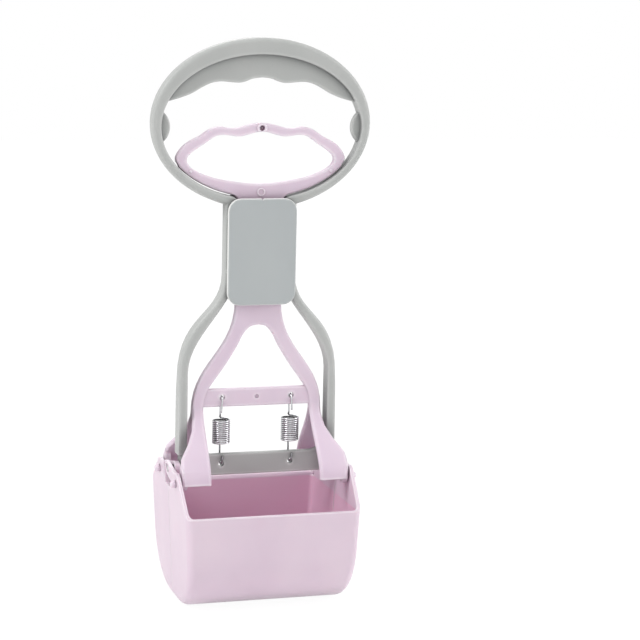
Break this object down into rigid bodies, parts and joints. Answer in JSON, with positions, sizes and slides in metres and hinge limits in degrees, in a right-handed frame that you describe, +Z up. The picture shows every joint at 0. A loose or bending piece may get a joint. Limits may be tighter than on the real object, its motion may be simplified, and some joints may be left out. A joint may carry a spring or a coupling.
{
  "type": "pooper scooper",
  "caption": "Hand-held scooper: an oval palm ring over a squeeze trigger on a slim neck, with sprung clamshell jaws at the bottom that swing open to pick up waste.",
  "frame": {"origin": "centre of the footprint at the lowest face of the closed jaws", "axes": "+X to the right across the ring, +Y from the cover side to the rear, +Z up from the jaws to the palm ring"},
  "size_m": [0.111, 0.0776, 0.28],
  "materials": {
    "grey_plastic": "smooth moulded grey plastic, soft sheen",
    "pink_plastic": "smooth moulded pale pink plastic, satin",
    "spring_steel": "bright drawn wire",
    "screw_steel": "plated steel"
  },
  "bodies": {
    "frame": {"handle_frame": "grey_plastic", "front_cover": "grey_plastic", "screw_lower_left": "screw_steel", "screw_lower_right": "screw_steel", "screw_upper_left": "screw_steel", "screw_upper_right": "screw_steel", "drive_pin_left": "grey_plastic", "drive_pin_right": "grey_plastic", "left_spring": "spring_steel", "right_spring": "spring_steel"},
    "slider": {"trigger_slider": "pink_plastic", "hinge_pin_front_left": "pink_plastic", "hinge_pin_front_right": "pink_plastic", "hinge_pin_rear_left": "pink_plastic", "hinge_pin_rear_right": "pink_plastic"},
    "jaw_front": {"front_jaw": "pink_plastic"},
    "jaw_rear": {"rear_jaw": "pink_plastic"}
  },
  "joints": [
    {"name": "trigger_slide", "type": "slide", "parent": "frame", "child": "slider", "axis": [0, 0, 1], "range_m": [0, 0.013], "stiffness_N_per_m": 400, "springref_m": -0.01, "deforming": ["left_spring", "right_spring"]},
    {"name": "front_jaw_hinge", "type": "hinge", "parent": "slider", "child": "jaw_front", "pos_m": [0, -0.0174, 0.063], "axis": [1, 0, 0], "range_deg": [-41, 0]},
    {"name": "rear_jaw_hinge", "type": "hinge", "parent": "slider", "child": "jaw_rear", "pos_m": [0, 0.0174, 0.063], "axis": [1, 0, 0], "range_deg": [0, 41]}
  ],
  "couplings": [
    {"joint": "front_jaw_hinge", "follows": "trigger_slide", "rad_per_m": -55},
    {"joint": "rear_jaw_hinge", "follows": "trigger_slide", "rad_per_m": 55}
  ]
}
